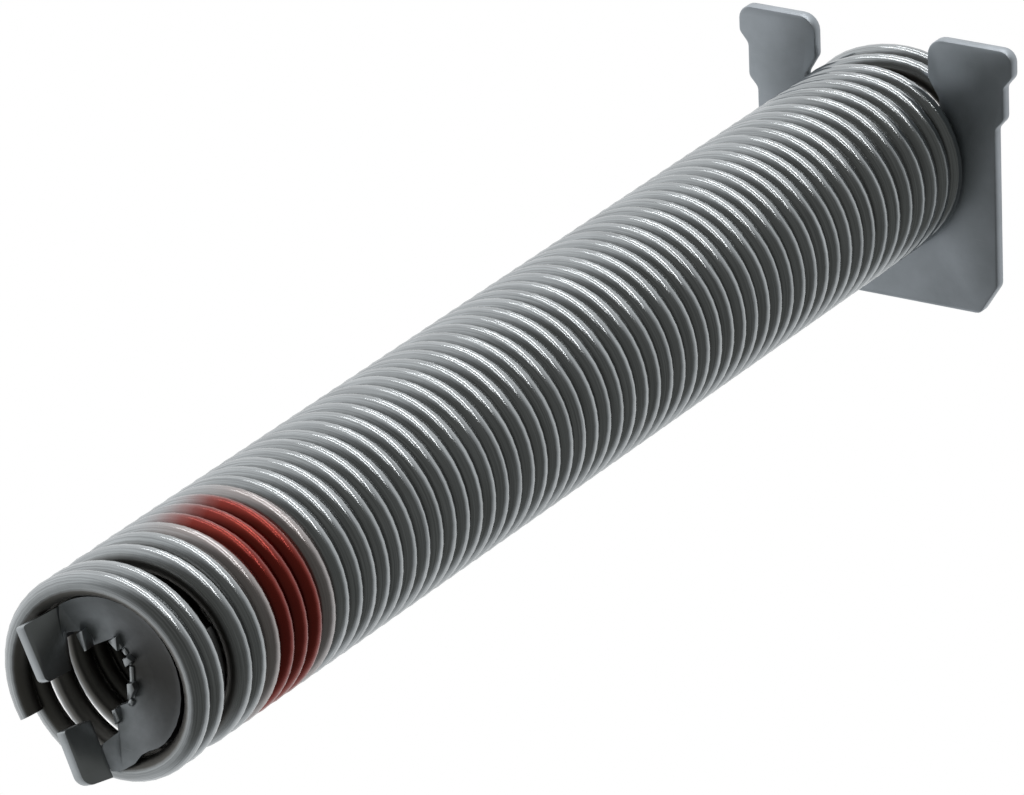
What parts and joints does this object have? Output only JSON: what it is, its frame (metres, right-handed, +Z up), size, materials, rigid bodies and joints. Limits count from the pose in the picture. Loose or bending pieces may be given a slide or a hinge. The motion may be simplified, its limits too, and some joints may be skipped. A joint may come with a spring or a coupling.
{
  "type": "appliance door spring",
  "caption": "Close-wound steel extension spring for an appliance door, with a slotted hook plate at one end and a pronged sheet insert in the other.",
  "frame": {"origin": "on the surface the spring lies on, under the middle of its length and on the coil's centre plane", "axes": "+Y along the coil axis from the pronged insert to the hook plate, +Z up towards the plate's ears, +X to the right seen from the front"},
  "size_m": [0.0336, 0.1608, 0.031],
  "materials": {
    "spring_wire": "semi_gloss",
    "plate_steel": "satin",
    "stamped_steel": "satin"
  },
  "bodies": {
    "root": {"coil_spring": "spring_wire", "rear_hook_plate": "plate_steel", "front_insert": "stamped_steel"}
  },
  "joints": []
}
